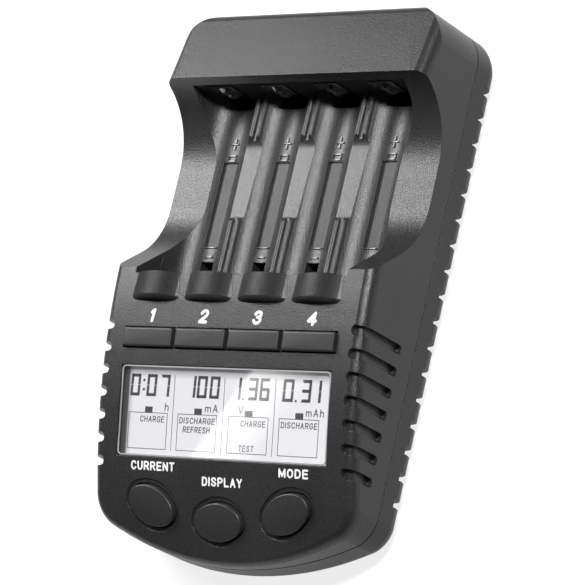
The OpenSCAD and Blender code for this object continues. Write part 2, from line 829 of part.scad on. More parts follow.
module back_cover() {
    color("#242426") lift() difference() {
        union() {
            difference() {
                back_form(0, split_h);
                back_form(wall, split_h + 1);
            }
            back_posts();
            tongue();
        }
        for (p = case_screws_at) translate([p[0], p[1], -1]) {
            cylinder(d = head_d + 4 * play, h = split_h - seat_t + 1);
            cylinder(d = screw_d + 2 * play, h = split_h + 2);
        }
        for (p = board_screws_at) translate([p[0], p[1], wall]) cylinder(d = screw_d + 2 * play, h = board_h);
        for (p = feet_at) translate([p[0], p[1], -1])
            cylinder(d = foot_d + 2 * play, h = foot_t - foot_proud + 1);
        notches();
    }
}

module lcd_window() {
    color([0.8, 0.85, 0.88, 0.5]) lift() on_panel(0, pane_y)
        span([-pane_w / 2, -pane_l / 2, -pane_sink - pane_t], [pane_w / 2, pane_l / 2, -pane_sink]);
}

module lcd_glass() {
    color("#c9cec8") lift() on_panel(0, pane_y)
        span([-glass_w / 2, -glass_l / 2, glass_top - glass_t], [glass_w / 2, glass_l / 2, glass_top]);
}

// Holder of the display, with a slot in its floor for the rubber connector.
module lcd_frame() {
    glass_proud = 0.1;
    seat = [glass_w / 2 + play, glass_l / 2 + play];
    room_x = frame_w / 2 - frame_rib;
    room_low = zebra_y + zebra_t / 2 + frame_rib;
    room_top = glass_top - glass_t - frame_t;
    slot = [zebra_w / 2 + play, zebra_t / 2 + play];
    color("#e6e6e2") lift() on_panel(0, pane_y) difference() {
        span([-frame_w / 2, -frame_l / 2, -board_depth], [frame_w / 2, frame_l / 2, glass_top - glass_proud]);
        span([-seat[0], -seat[1], glass_top - glass_t], [seat[0], seat[1], 1]);
        span([-room_x, room_low, -board_depth - 1], [room_x, frame_l / 2 - frame_rib, room_top]);
        span([-slot[0], zebra_y - slot[1], -board_depth - 1], [slot[0], zebra_y + slot[1], 0]);
    }
}

module zebra_strip() {
    color("#b9b4c8") lift() on_panel(0, pane_y)
        span([-zebra_w / 2, zebra_y - zebra_t / 2, -board_depth],
            [zebra_w / 2, zebra_y + zebra_t / 2, glass_top - glass_t]);
}

// A bar key with a softly domed top and a flange along its long sides.
module slot_button(i) {
    flange_y = bar_l / 2 + flange_w;
    color("#1f1f21") lift() on_panel(bars[i][0], bars[i][1]) {
        intersection() {
            span([-bar_w / 2, -bar_l / 2, key_low], [bar_w / 2, bar_l / 2, key_proud]);
            rotate([0, 90, 0]) translate([bar_top_r - key_proud, 0, 0])
                cylinder(r = bar_top_r, h = far, center = true, $fn = 240);
        }
        span([-bar_w / 2, -flange_y, key_low], [bar_w / 2, flange_y, key_low + flange_t]);
    }
}

// An oval key with a flange under the panel.
module oval_button(i) {
    color("#1f1f21") lift() on_panel(ovals[i][0], ovals[i][1]) rotate([0, 0, ovals[i][2]])
        translate([0, 0, key_low]) {
            linear_extrude(key_proud - key_low) oval(oval_w, oval_l);
            linear_extrude(flange_t) oval(oval_w + 2 * flange_w, oval_l + 2 * flange_w);
        }
}

// Board under the panel, stepped in past the case screws and again for the chin.
module display_board() {
    edge = 1.5;
    top_l = switch_l(bar_y) + switch_w / 2 + edge;
    wide_x = frame_w / 2 + play;
    wide_l = frame_l / 2 + edge;
    narrow_l = -display_screws_at[0][1] + small_boss_d / 2 + edge;
    low_x = oval_x + switch_w / 2 + edge;
    low_l = -switch_l(low_key_y) + switch_w / 2 + edge / 2;
    color("#1d6b3a") lift() on_panel(0, pane_y) difference() {
        translate([0, 0, -board_depth - board_t]) union() {
            span([-wide_x, -wide_l, 0], [wide_x, top_l, board_t]);
            span([-narrow_w / 2, -narrow_l, 0], [narrow_w / 2, 0, board_t]);
            span([-low_x, -low_l, 0], [low_x, 0, board_t]);
        }
        for (p = display_screws_at) translate([p[0], p[1], -far / 2]) cylinder(d = screw_d + 2 * play, h = far);
    }
}

// Seven tact switches on the display board, one under each key.
module key_switches() {
    half = switch_w / 2;
    color("#333336") lift() for (k = concat(bars, ovals))
        on_panel(0, pane_y) translate([k[0], switch_l(k[1]), -board_depth]) {
            span([-half, -half, 0], [half, half, switch_h]);
            cylinder(d = plunger_d, h = plunger_h(k[1]));
        }
}

// A pan-head screw that points up, its head below the origin.
module screw(l) {
    slot = [0.3 * head_d, 0.075 * head_d, 0.5 * head_h];
    cylinder(d = screw_d, h = l);
    translate([0, 0, -head_h]) difference() {
        cylinder(d = head_d, h = head_h);
        for (a = [0, 90]) rotate([0, 0, a]) span(-slot, slot);
    }
}

module display_screws() {
    color("silver") lift() for (p = display_screws_at)
        on_panel(0, pane_y) translate([p[0], p[1], -board_depth - board_t]) screw(board_screw_l);
}

// Board under the cells, with a tab that carries the inlet.
module main_board() {
    edge_x = side_x - board_in;
    low_y = hump_y1 - 8;
    high_y = wall_y + 4;
    tab_gap = 0.5;
    color("#1d6b3a") lift() translate([0, 0, board_h]) difference() {
        union() {
            span([-edge_x, low_y, 0], [edge_x, high_y, board_t]);
            span([-jack_tab_w / 2, 0, 0], [jack_tab_w / 2, y_top - wall - tab_gap, board_t]);
        }
        for (p = board_screws_at) translate([p[0], p[1], -1]) cylinder(d = screw_d + 2 * play, h = board_t + 2);
    }
}

// Flat chip with a row of legs on each side.
module control_chip() {
    size = 10;
    body_t = 1.4;
    stand = 0.2;
    legs = 12;
    leg_pitch = 0.75;
    leg = [0.35, 1.2, 0.4];
    color("#18181a") lift() translate([0, wall_y - 20, board_top]) {
        translate([-size / 2, -size / 2, stand]) cube([size, size, body_t]);
        for (a = [0 : 90 : 270], i = [0 : legs - 1]) rotate([0, 0, a])
            translate([(i - (legs - 1) / 2) * leg_pitch - leg[0] / 2, size / 2 - stand, 0]) cube(leg);
    }
}

// One transistor for each cell: a body, its tab and two legs.
module charge_transistors() {
    body = [6.6, 6, 2.3];
    tab = [5.4, 1.2, 0.5];
    leg = [0.8, 2.4, 0.6];
    leg_x = 2.3;
    up = 14;
    color("#202022") lift() for (s = slots) translate([s * pitch, hump_y0 + up, board_top]) {
        translate([-body[0] / 2, -body[1] / 2, 0]) cube(body);
        translate([-tab[0] / 2, body[1] / 2, 0]) cube(tab);
        for (x = [-leg_x, leg_x]) translate([x - leg[0] / 2, -body[1] / 2 - leg[1], 0]) cube(leg);
    }
}

module board_screws() {
    color("silver") lift() for (p = board_screws_at)
        translate([p[0], p[1], board_top]) mirror([0, 0, 1]) screw(board_screw_l);
}

// Row of pins between the two boards.
module board_link() {
    y = hump_y1 - 5;
    pins = 8;
    pin = 0.6;
    base = 2.5;
    gap = 0.1;
    top = under_z(y - pin / 2) - gap;
    color("#18181a") lift() translate([0, y, 0]) {
        span([-pins * base / 2, -base / 2, board_top], [pins * base / 2, base / 2, board_top + base]);
        for (i = [0 : pins - 1]) translate([(i - (pins - 1) / 2) * base, 0, 0])
            span([-pin / 2, -pin / 2, board_top], [pin / 2, pin / 2, top]);
    }
}

// A pressed dome that points up.
module dome() {
    cylinder(r1 = dome_r, r2 = dome_r / 2, h = dome_h);
}

// Contact on the hood's wall, with a dome for each size of cell and a tail to the main board.
module plus_contact(i) {
    tail_w = 4;
    small_drop = 2.4;
    low = floor_top + 1;
    high = axis_h + 3;
    color("silver") lift() translate([slots[i] * pitch, wall_y - sheet_t / 2, 0]) {
        span([-contact_w / 2, 0, low], [contact_w / 2, sheet_t, high]);
        span([-tail_w / 2, 0, board_top], [tail_w / 2, sheet_t, low + 1]);
        for (z = [axis_h, axis_h - small_drop]) translate([0, 0, z]) rotate([90, 0, 0]) dome();
    }
}

// Sprung leaf against the lower end of an AA cell.
module minus_contact(i) {
    high = axis_h + 1.8;
    color("silver") lift() translate([slots[i] * pitch, leaf_back_y, 0]) {
        span([-contact_w / 2, -sheet_t / 2, pivot_z], [contact_w / 2, sheet_t / 2, high]);
        translate([0, sheet_t / 2, axis_h]) rotate([-90, 0, 0]) dome();
        translate([0, 0, pivot_z]) rotate([0, 90, 0]) cylinder(r = roll_r, h = contact_w, center = true);
    }
}

// Sprung tab against the lower end of an AAA cell, pressed down by an AA cell.
module aaa_contact(i) {
    tip_r = 0.5;
    color("silver") lift() translate([slots[i] * pitch, tab_pivot_y, pivot_z]) rotate([tab_angle, 0, 0]) {
        span([-tab_w / 2, 0, -sheet_t / 2], [tab_w / 2, tab_l, sheet_t / 2]);
        rotate([0, 90, 0]) cylinder(r = roll_r, h = tab_w, center = true);
        translate([0, tab_l, 0]) rotate([0, 90, 0]) cylinder(r = tip_r, h = tab_w, center = true);
    }
}

// Low-voltage inlet with its centre pin.
module dc_jack() {
    color("#1a1a1c") lift() {
        difference() {
            span([-jack_w / 2, jack_y - jack_l, board_top], [jack_w / 2, jack_y, board_top + jack_h]);
            translate([0, jack_y + 1, jack_axis]) rotate([90, 0, 0]) cylinder(d = bore_d, h = bore_l + 1);
        }
        translate([0, jack_y - bore_l - 1, jack_axis]) rotate([-90, 0, 0]) cylinder(d = pin_d, h = bore_l);
    }
}

module case_screws() {
    color("silver") lift() for (p = case_screws_at) translate([p[0], p[1], split_h - seat_t]) screw(case_screw_l);
}

module rubber_feet() {
    color("#2a2a2a") lift() for (p = feet_at)
        translate([p[0], p[1], -foot_proud]) cylinder(d = foot_d, h = foot_t);
}

front_cover();
back_cover();
lcd_window();
lcd_glass();
lcd_frame();
zebra_strip();
slot_button(0);  // slot_button_1
slot_button(1);  // slot_button_2
slot_button(2);  // slot_button_3
slot_button(3);  // slot_button_4
oval_button(0);  // current_button
oval_button(1);  // display_button
oval_button(2);  // mode_button
display_board();
key_switches();
display_screws();
main_board();
control_chip();
charge_transistors();
board_screws();
board_link();
plus_contact(0);  // plus_contact_1
plus_contact(1);  // plus_contact_2
plus_contact(2);  // plus_contact_3
plus_contact(3);  // plus_contact_4
minus_contact(0);  // minus_contact_1
minus_contact(1);  // minus_contact_2
minus_contact(2);  // minus_contact_3
minus_contact(3);  // minus_contact_4
aaa_contact(0);  // aaa_contact_1
aaa_contact(1);  // aaa_contact_2
aaa_contact(2);  // aaa_contact_3
aaa_contact(3);  // aaa_contact_4
dc_jack();
case_screws();
rubber_feet();
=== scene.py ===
"""Looks of a desk charger for AA and AAA cells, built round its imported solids."""

import math

import bmesh
import bpy
from mathutils import Matrix, Vector


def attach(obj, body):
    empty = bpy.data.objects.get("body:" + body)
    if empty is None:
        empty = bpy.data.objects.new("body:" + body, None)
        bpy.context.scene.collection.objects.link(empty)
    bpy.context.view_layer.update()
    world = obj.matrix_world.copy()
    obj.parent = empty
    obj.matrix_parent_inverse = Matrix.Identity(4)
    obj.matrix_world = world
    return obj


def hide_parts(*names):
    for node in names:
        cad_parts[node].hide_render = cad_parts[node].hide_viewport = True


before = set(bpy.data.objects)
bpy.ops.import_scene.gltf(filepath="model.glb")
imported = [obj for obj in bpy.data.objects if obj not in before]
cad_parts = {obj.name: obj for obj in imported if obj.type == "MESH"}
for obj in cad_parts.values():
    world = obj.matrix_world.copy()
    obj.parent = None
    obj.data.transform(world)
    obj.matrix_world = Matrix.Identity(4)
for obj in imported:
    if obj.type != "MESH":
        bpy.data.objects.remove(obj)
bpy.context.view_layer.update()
scene = bpy.context.scene

# Sizes of the case in mm, as in the solids. It stands on feet of the height LIFT.
MM = 0.001
LIFT = 1.2
CREST_Y, CREST_H, PANEL_R = 5.3, 29.7, 152.0
PITCH = 15.5
SLOTS = [(i - 1.5) * PITCH for i in range(4)]
CELL_AXIS_H, CHANNEL_R = 21.8, 7.4
SIDE_X, EDGE_R = 37.7, 3.0
CHIN_Y, CHIN_R, CHIN_CORNER_R = -64.5, 81.0, 8.0
CHIN_CORNER_X = SIDE_X - CHIN_CORNER_R
CHIN_CORNER_TURN = math.acos(CHIN_CORNER_X / (CHIN_R - CHIN_CORNER_R))
CHIN_CORNER_Y = CHIN_Y + CHIN_R - math.sqrt((CHIN_R - CHIN_CORNER_R) ** 2 - CHIN_CORNER_X ** 2)

# Pane and keys. Their heights count from the panel's surface. An oval key has a place and a turn,
# and OVAL_END is the radius of its ends as a share of its length.
PANE_Y, PANE_W, PANE_L, PANE_CORNER_R = -33.0, 60.4, 20.5, 1.1
PANE_TOP, PANE_LOW = -0.4, -1.4
KEY_LOW, FLANGE_TOP, KEY_TOP, FLANGE_W = -3.2, -2.3, 1.0, 1.0
OVAL_W, OVAL_L, OVAL_END = 13.4, 8.8, 0.375
OVALS = {
    "current_button": (-19.4, -53.2, -22.0),
    "display_button": (0.0, -55.8, 0.0),
    "mode_button": (19.4, -53.2, 22.0),
}
BAR_W, BAR_L, BAR_Y = 14.4, 4.4, -16.7


# Places and meshes

def panel_tilt(y):
    """Slope of the bowed panel, as an angle."""
    return math.asin((CREST_Y - y) / PANEL_R)


def panel_height(y):
    """Height of the panel's surface over the floor."""
    return CREST_H - PANEL_R * (1 - math.cos(panel_tilt(y))) + LIFT


def on_panel(x, y, turn=0.0):
    """Frame of a place on the panel: local Z is its normal, local Y goes up its slope."""
    place = Matrix.Translation(Vector((x, y, panel_height(y))) * MM)
    tilt = Matrix.Rotation(panel_tilt(y), 4, "X")
    return place @ tilt @ Matrix.Rotation(math.radians(turn), 4, "Z")


SHARP_ANGLE = math.radians(40)


def add_mesh(name, bm, place, material, body="case", smooth=False):
    """Turns a bmesh in mm into a piece at a place and lets it ride on a body."""
    bmesh.ops.transform(bm, matrix=place @ Matrix.Scale(MM, 4), verts=bm.verts)
    bmesh.ops.recalc_face_normals(bm, faces=bm.faces)
    mesh = bpy.data.meshes.new(name)
    bm.to_mesh(mesh)
    bm.free()
    mesh.materials.append(material)
    if smooth:
        mesh.polygons.foreach_set("use_smooth", [True] * len(mesh.polygons))
        mesh.set_sharp_from_angle(angle=SHARP_ANGLE)
    obj = bpy.data.objects.new(name, mesh)
    scene.collection.objects.link(obj)
    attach(obj, body)
    return obj


def skin(bm, rings):
    """Closed skin through rings of points that have the same count, with flat ends."""
    rows = [[bm.verts.new(p) for p in ring] for ring in rings]
    count = len(rows[0])
    for low, high in zip(rows, rows[1:]):
        for i in range(count):
            bm.faces.new((low[i - 1], low[i], high[i], high[i - 1]))
    bm.faces.new(rows[0][::-1])
    bm.faces.new(rows[-1])


def slab(bm, outline, low, high):
    """Flat plate with that outline, a list of points in order, between two heights."""
    skin(bm, [[(x, y, z) for x, y in outline] for z in (low, high)])


def ring(bm, outer, inner, low, high):
    """Flat frame between two outlines of the same count, between two heights."""
    loops = [[bm.verts.new((x, y, z)) for x, y in outline] for outline, z in
             ((outer, low), (outer, high), (inner, high), (inner, low))]
    for a, b in zip(loops, loops[1:] + loops[:1]):
        for i in range(len(a)):
            bm.faces.new((a[i - 1], a[i], b[i], b[i - 1]))


def box_outline(x0, y0, x1, y1, r=0.0, steps=6):
    """A rectangle, with rounded corners if a radius is given."""
    if r <= 0:
        return [(x0, y0), (x1, y0), (x1, y1), (x0, y1)]
    corners = [(x1 - r, y0 + r, -90), (x1 - r, y1 - r, 0), (x0 + r, y1 - r, 90), (x0 + r, y0 + r, 180)]
    out = []
    for cx, cy, start in corners:
        for i in range(steps + 1):
            a = math.radians(start + 90 * i / steps)
            out.append((cx + r * math.cos(a), cy + r * math.sin(a)))
    return out


def oval_outline(width, length, steps=16):
    """An oval of two end arcs and two flatter side arcs that touch them."""
    end_r = OVAL_END * length
    end_x = width / 2 - end_r
    side_r = (end_x ** 2 + length * length / 4 - end_r ** 2) / (length - 2 * end_r)
    touch = math.degrees(math.atan2(side_r - length / 2, end_x))
    arcs = [
        (end_x, 0, end_r, -touch, touch),
        (0, length / 2 - side_r, side_r, touch, 180 - touch),
        (-end_x, 0, end_r, 180 - touch, 180 + touch),
        (0, side_r - length / 2, side_r, 180 + touch, 360 - touch),
    ]
    out = []
    for cx, cy, r, start, end in arcs:
        for i in range(steps):
            a = math.radians(start + (end - start) * i / steps)
            out.append((cx + r * math.cos(a), cy + r * math.sin(a)))
    return out


# Shader nodes

def grey(level, blue=0.001):
    """A grey with a slight cast of blue, or of yellow where that is below 0."""
    return level, level, level + blue


def new_material(name):
    """A material with its nodes, its links and its main shader."""
    m = bpy.data.materials.new(name)
    m.use_nodes = True
    nodes = m.node_tree.nodes
    return m, nodes, m.node_tree.links, nodes["Principled BSDF"]


def add_noise(nodes, links, coords, scale, detail=2.0, rough=0.5):
    """Noise over the part's own coordinates."""
    n = nodes.new("ShaderNodeTexNoise")
    n.inputs["Scale"].default_value = scale
    n.inputs["Detail"].default_value = detail
    n.inputs["Roughness"].default_value = rough
    links.new(coords.outputs["Object"], n.inputs["Vector"])
    return n


def add_ramp(nodes, links, source, stops):
    """A colour ramp over a value, with stops as pairs of position and colour."""
    r = nodes.new("ShaderNodeValToRGB")
    links.new(source, r.inputs["Fac"])
    while len(r.color_ramp.elements) < len(stops):
        r.color_ramp.elements.new(0.5)
    for e, (at, colour) in zip(r.color_ramp.elements, stops):
        e.position = at
        e.color = (*colour, 1)
    return r


def add_range(nodes, links, source, low, high):
    """Noise spread between two values."""
    r = nodes.new("ShaderNodeMapRange")
    r.inputs["From Min"].default_value = 0.3
    r.inputs["From Max"].default_value = 0.7
    r.inputs["To Min"].default_value = low
    r.inputs["To Max"].default_value = high
    links.new(source, r.inputs["Value"])
    return r


def add_math(nodes, links, operation, *values):
    """A math node fed by sockets or plain numbers."""
    node = nodes.new("ShaderNodeMath")
    node.operation = operation
    for socket, value in zip(node.inputs, values):
        if isinstance(value, bpy.types.NodeSocket):
            links.new(value, socket)
        else:
            socket.default_value = value
    return node.outputs["Value"]


# Materials

# Depth of the plastics' grain in mm
GRAIN_DEPTH = 0.12


def grained_plastic(name, dark, light, rough, grain, bump, edge=0.0):
    """Moulded plastic with an etched grain, of a size in mm, and edges softened by a radius in mm."""
    m, nodes, links, bsdf = new_material(name)
    coords = nodes.new("ShaderNodeTexCoord")
    fine = add_noise(nodes, links, coords, 1 / (grain * MM), 3.0, 0.6)
    cloud = add_noise(nodes, links, coords, 60.0, 3.0)
    specks = add_ramp(nodes, links, fine.outputs["Fac"], [(0.35, dark), (0.7, light)])
    clouds = add_ramp(nodes, links, cloud.outputs["Fac"], [(0.3, dark), (0.75, light)])
    tint = nodes.new("ShaderNodeMix")
    tint.data_type = "RGBA"
    tint.inputs["Factor"].default_value = 0.4
    links.new(specks.outputs["Color"], tint.inputs["A"])
    links.new(clouds.outputs["Color"], tint.inputs["B"])
    links.new(tint.outputs["Result"], bsdf.inputs["Base Color"])
    gloss = add_range(nodes, links, fine.outputs["Fac"], rough - 0.06, rough + 0.08)
    links.new(gloss.outputs["Result"], bsdf.inputs["Roughness"])
    bumps = nodes.new("ShaderNodeBump")
    bumps.inputs["Strength"].default_value = bump
    bumps.inputs["Distance"].default_value = GRAIN_DEPTH * MM
    links.new(fine.outputs["Fac"], bumps.inputs["Height"])
    if edge:
        soft = nodes.new("ShaderNodeBevel")
        soft.samples = 4
        soft.inputs["Radius"].default_value = edge * MM
        links.new(soft.outputs["Normal"], bumps.inputs["Normal"])
    links.new(bumps.outputs["Normal"], bsdf.inputs["Normal"])
    return m


def painted_shade_zone(material, x, y, z, level):
    """Turns the gloss of a plastic down to a level in a block of the part, in mm: painted shade."""
    nodes, links = material.node_tree.nodes, material.node_tree.links
    gloss = nodes["Principled BSDF"].inputs["Specular IOR Level"]
    coords = nodes.new("ShaderNodeTexCoord")
    apart = nodes.new("ShaderNodeSeparateXYZ")
    links.new(coords.outputs["Object"], apart.inputs["Vector"])
    within = 1.0
    for axis, (low, high) in zip("XYZ", (x, y, z)):
        middle, half = (low + high) / 2 * MM, (high - low) / 2 * MM
        between = add_math(nodes, links, "COMPARE", apart.outputs[axis], middle, half)
        within = add_math(nodes, links, "MULTIPLY", within, between)
    blend = nodes.new("ShaderNodeMix")
    blend.inputs["A"].default_value = gloss.default_value
    if gloss.is_linked:
        links.new(gloss.links[0].from_socket, blend.inputs["A"])
    blend.inputs["B"].default_value = level
    links.new(within, blend.inputs["Factor"])
    links.new(blend.outputs["Result"], gloss)


def plain_print(name, colour, rough=0.55, glow=0.0):
    """Ink or a thin layer, with slight unevenness, and a painted glow of the strength glow."""
    m, nodes, links, bsdf = new_material(name)
    coords = nodes.new("ShaderNodeTexCoord")
    n = add_noise(nodes, links, coords, 1800.0)
    worn = tuple(0.93 * c for c in colour)
    r = add_ramp(nodes, links, n.outputs["Fac"], [(0.3, worn), (0.6, colour)])
    links.new(r.outputs["Color"], bsdf.inputs["Base Color"])
    bsdf.inputs["Roughness"].default_value = rough
    bsdf.inputs["Emission Color"].default_value = (1, 1, 1, 1)
    bsdf.inputs["Emission Strength"].default_value = glow
    return m


# Painted shade on the display from its left side to its right, and from its lower side to its upper one,
# with a thin painted highlight along its upper edge
PAINTED_SHADE_ACROSS = [
    (0.0, grey(0.07, 0.002)), (0.024, grey(0.1, 0.002)), (0.03, grey(0.55, 0.01)),
    (0.05, grey(0.8, 0.02)), (0.97, grey(0.84, 0.02)), (1.0, grey(0.78, 0.02)),
]
PAINTED_SHADE_AND_HIGHLIGHT_UPWARD = [
    (0.0, grey(1.0, 0.0)), (0.86, grey(0.97, 0.0)), (0.945, grey(0.55, 0.01)),
    (0.985, grey(0.38, 0.01)), (0.99, grey(0.8, 0.0)),
]


def display_layer(name):
    """Pale display behind its pane, with painted shade at the left and the top where the walls of its
    well would shade it, a painted highlight along its upper edge, and a painted glow.
    """
    m, nodes, links, bsdf = new_material(name)
    coords = nodes.new("ShaderNodeTexCoord")
    apart = nodes.new("ShaderNodeSeparateXYZ")
    links.new(coords.outputs["Generated"], apart.inputs["Vector"])
    across = add_ramp(nodes, links, apart.outputs["X"], PAINTED_SHADE_ACROSS)
    upward = add_ramp(nodes, links, apart.outputs["Y"], PAINTED_SHADE_AND_HIGHLIGHT_UPWARD)
    shade = nodes.new("ShaderNodeMix")
    shade.data_type = "RGBA"
    shade.blend_type = "MULTIPLY"
    shade.inputs["Factor"].default_value = 1.0
    links.new(across.outputs["Color"], shade.inputs["A"])
    links.new(upward.outputs["Color"], shade.inputs["B"])
    links.new(shade.outputs["Result"], bsdf.inputs["Base Color"])
    bsdf.inputs["Roughness"].default_value = 0.6
    # The painted shade also glows: a painted glow, though the display is no lamp
    links.new(shade.outputs["Result"], bsdf.inputs["Emission Color"])
    bsdf.inputs["Emission Strength"].default_value = 0.31
    return m


def metal(name, colour, rough, stretch):
    """Plated or cut metal with fine drawn lines."""
    m, nodes, links, bsdf = new_material(name)
    coords = nodes.new("ShaderNodeTexCoord")
    mapping = nodes.new("ShaderNodeMapping")
    mapping.inputs["Scale"].default_value = stretch
    links.new(coords.outputs["Object"], mapping.inputs["Vector"])
    n = nodes.new("ShaderNodeTexNoise")
    n.inputs["Scale"].default_value = 900.0
    n.inputs["Detail"].default_value = 4.0
    links.new(mapping.outputs["Vector"], n.inputs["Vector"])
    darker = tuple(0.8 * c for c in colour)
    r = add_ramp(nodes, links, n.outputs["Fac"], [(0.3, darker), (0.7, colour)])
    links.new(r.outputs["Color"], bsdf.inputs["Base Color"])
    bsdf.inputs["Metallic"].default_value = 1.0
    bsdf.inputs["Roughness"].default_value = rough
    return m


def circuit_board(name):
    """Dark green board with paler tracks."""
    m, nodes, links, bsdf = new_material(name)
    coords = nodes.new("ShaderNodeTexCoord")
    cells = nodes.new("ShaderNodeTexVoronoi")
    cells.feature = "DISTANCE_TO_EDGE"
    cells.inputs["Scale"].default_value = 350.0
    links.new(coords.outputs["Object"], cells.inputs["Vector"])
    stops = [(0.05, (0.015, 0.06, 0.025)), (0.12, (0.006, 0.03, 0.012))]
    r = add_ramp(nodes, links, cells.outputs["Distance"], stops)
    links.new(r.outputs["Color"], bsdf.inputs["Base Color"])
    bsdf.inputs["Roughness"].default_value = 0.35
    return m


def clear_pane(name):
    """Clear plastic pane: see-through with a polished face."""
    m, nodes, links, bsdf = new_material(name)
    bsdf.inputs["Base Color"].default_value = (0.05, 0.05, 0.05, 1)
    bsdf.inputs["Alpha"].default_value = 0.1
    bsdf.inputs["IOR"].default_value = 5.0
    coords = nodes.new("ShaderNodeTexCoord")
    n = add_noise(nodes, links, coords, 400.0)
    gloss = add_range(nodes, links, n.outputs["Fac"], 0.015, 0.03)
    links.new(gloss.outputs["Result"], bsdf.inputs["Roughness"])
    return m


shell = grained_plastic("shell_plastic", grey(0.019), grey(0.042), 0.3, 0.34, 0.6, 0.25)
back_shell = grained_plastic("back_plastic", grey(0.014), grey(0.032), 0.34, 0.34, 0.5, 0.25)
# The signs are moulded in the shell's black plastic; their paler colour is a painted highlight where
# their raised edges catch the light
sign_plastic_painted_highlight = grained_plastic("sign_plastic_painted_highlight", grey(0.05), grey(0.09), 0.22, 0.5, 0.1)
key_plastic = grained_plastic("key_plastic", grey(0.023), grey(0.036), 0.42, 0.4, 0.2)
part_plastic = grained_plastic("part_plastic", grey(0.012), grey(0.022), 0.4, 0.5, 0.2)
light_plastic = grained_plastic("light_plastic", grey(0.62, -0.02), grey(0.7, -0.02), 0.5, 0.5, 0.1)
foot_rubber = grained_plastic("foot_rubber", grey(0.015, 0.0), grey(0.028, 0.0), 0.75, 0.6, 0.5)
strip_rubber = grained_plastic("strip_rubber", (0.35, 0.32, 0.42), (0.45, 0.42, 0.52), 0.7, 0.6, 0.2)
# Lower gloss as painted shade: on the channels' floor strips, deep between the ribs, and on the hump
# tops, darker as if they sloped away from the light
FLOOR_STRIPS = ((-30, 30), (5, 40), (15, 15.45))
HUMP_TOPS = ((-32, 32), (-8.5, -1.6), (30.9, 33))
painted_shade_zone(shell, *FLOOR_STRIPS, level=0.24)
painted_shade_zone(shell, *HUMP_TOPS, level=0.12)
# The white ink glows a little: a painted glow, though print is no lamp
white_ink_painted_glow = plain_print("white_ink_painted_glow", grey(0.93, 0.0), glow=0.15)
segment_ink = plain_print("segment_ink", grey(0.085, 0.005), 0.5)
line_ink = plain_print("line_ink", grey(0.13, 0.005), 0.5)
glass_grey = plain_print("glass_grey", (0.5, 0.52, 0.5), 0.3)
pane_edge_painted_highlight = plain_print("pane_edge_painted_highlight", grey(0.42, 0.01), 0.2)
pane_clear = clear_pane("pane_clear")
display_painted_shade_and_glow = display_layer("display_painted_shade_and_glow")
DRAWN_UPWARD = (1, 1, 0.1)
contact_metal = metal("contact_metal", grey(0.5, -0.01), 0.08, DRAWN_UPWARD)
# The plus contacts are plated like the others; their darker colour is painted shade for their place under
# the hood
plate_metal_painted_shade = metal("plate_metal_painted_shade", grey(0.24, -0.005), 0.07, DRAWN_UPWARD)
screw_metal = metal("screw_metal", grey(0.6, 0.0), 0.35, (1, 1, 1))
board_green = circuit_board("board_green")

# Material of each node, by the start of its name
BY_START = {
    "front_cover": shell, "back_cover": back_shell, "lcd_window": pane_clear, "lcd_glass": glass_grey,
    "lcd_frame": light_plastic, "zebra_strip": strip_rubber, "display_board": board_green,
    "main_board": board_green, "rubber_feet": foot_rubber, "slot_button": key_plastic,
    "current_button": key_plastic, "display_button": key_plastic, "mode_button": key_plastic,
    "plus_contact": plate_metal_painted_shade, "minus_contact": contact_metal, "aaa_contact": contact_metal,
    "display_screws": screw_metal, "board_screws": screw_metal, "case_screws": screw_metal,
}
for name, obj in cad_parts.items():
    found = [material for start, material in BY_START.items() if name.startswith(start)]
    obj.data.materials.clear()
    obj.data.materials.append(found[0] if found else part_plastic)


# Lettering, as strokes through points on a grid that is six high

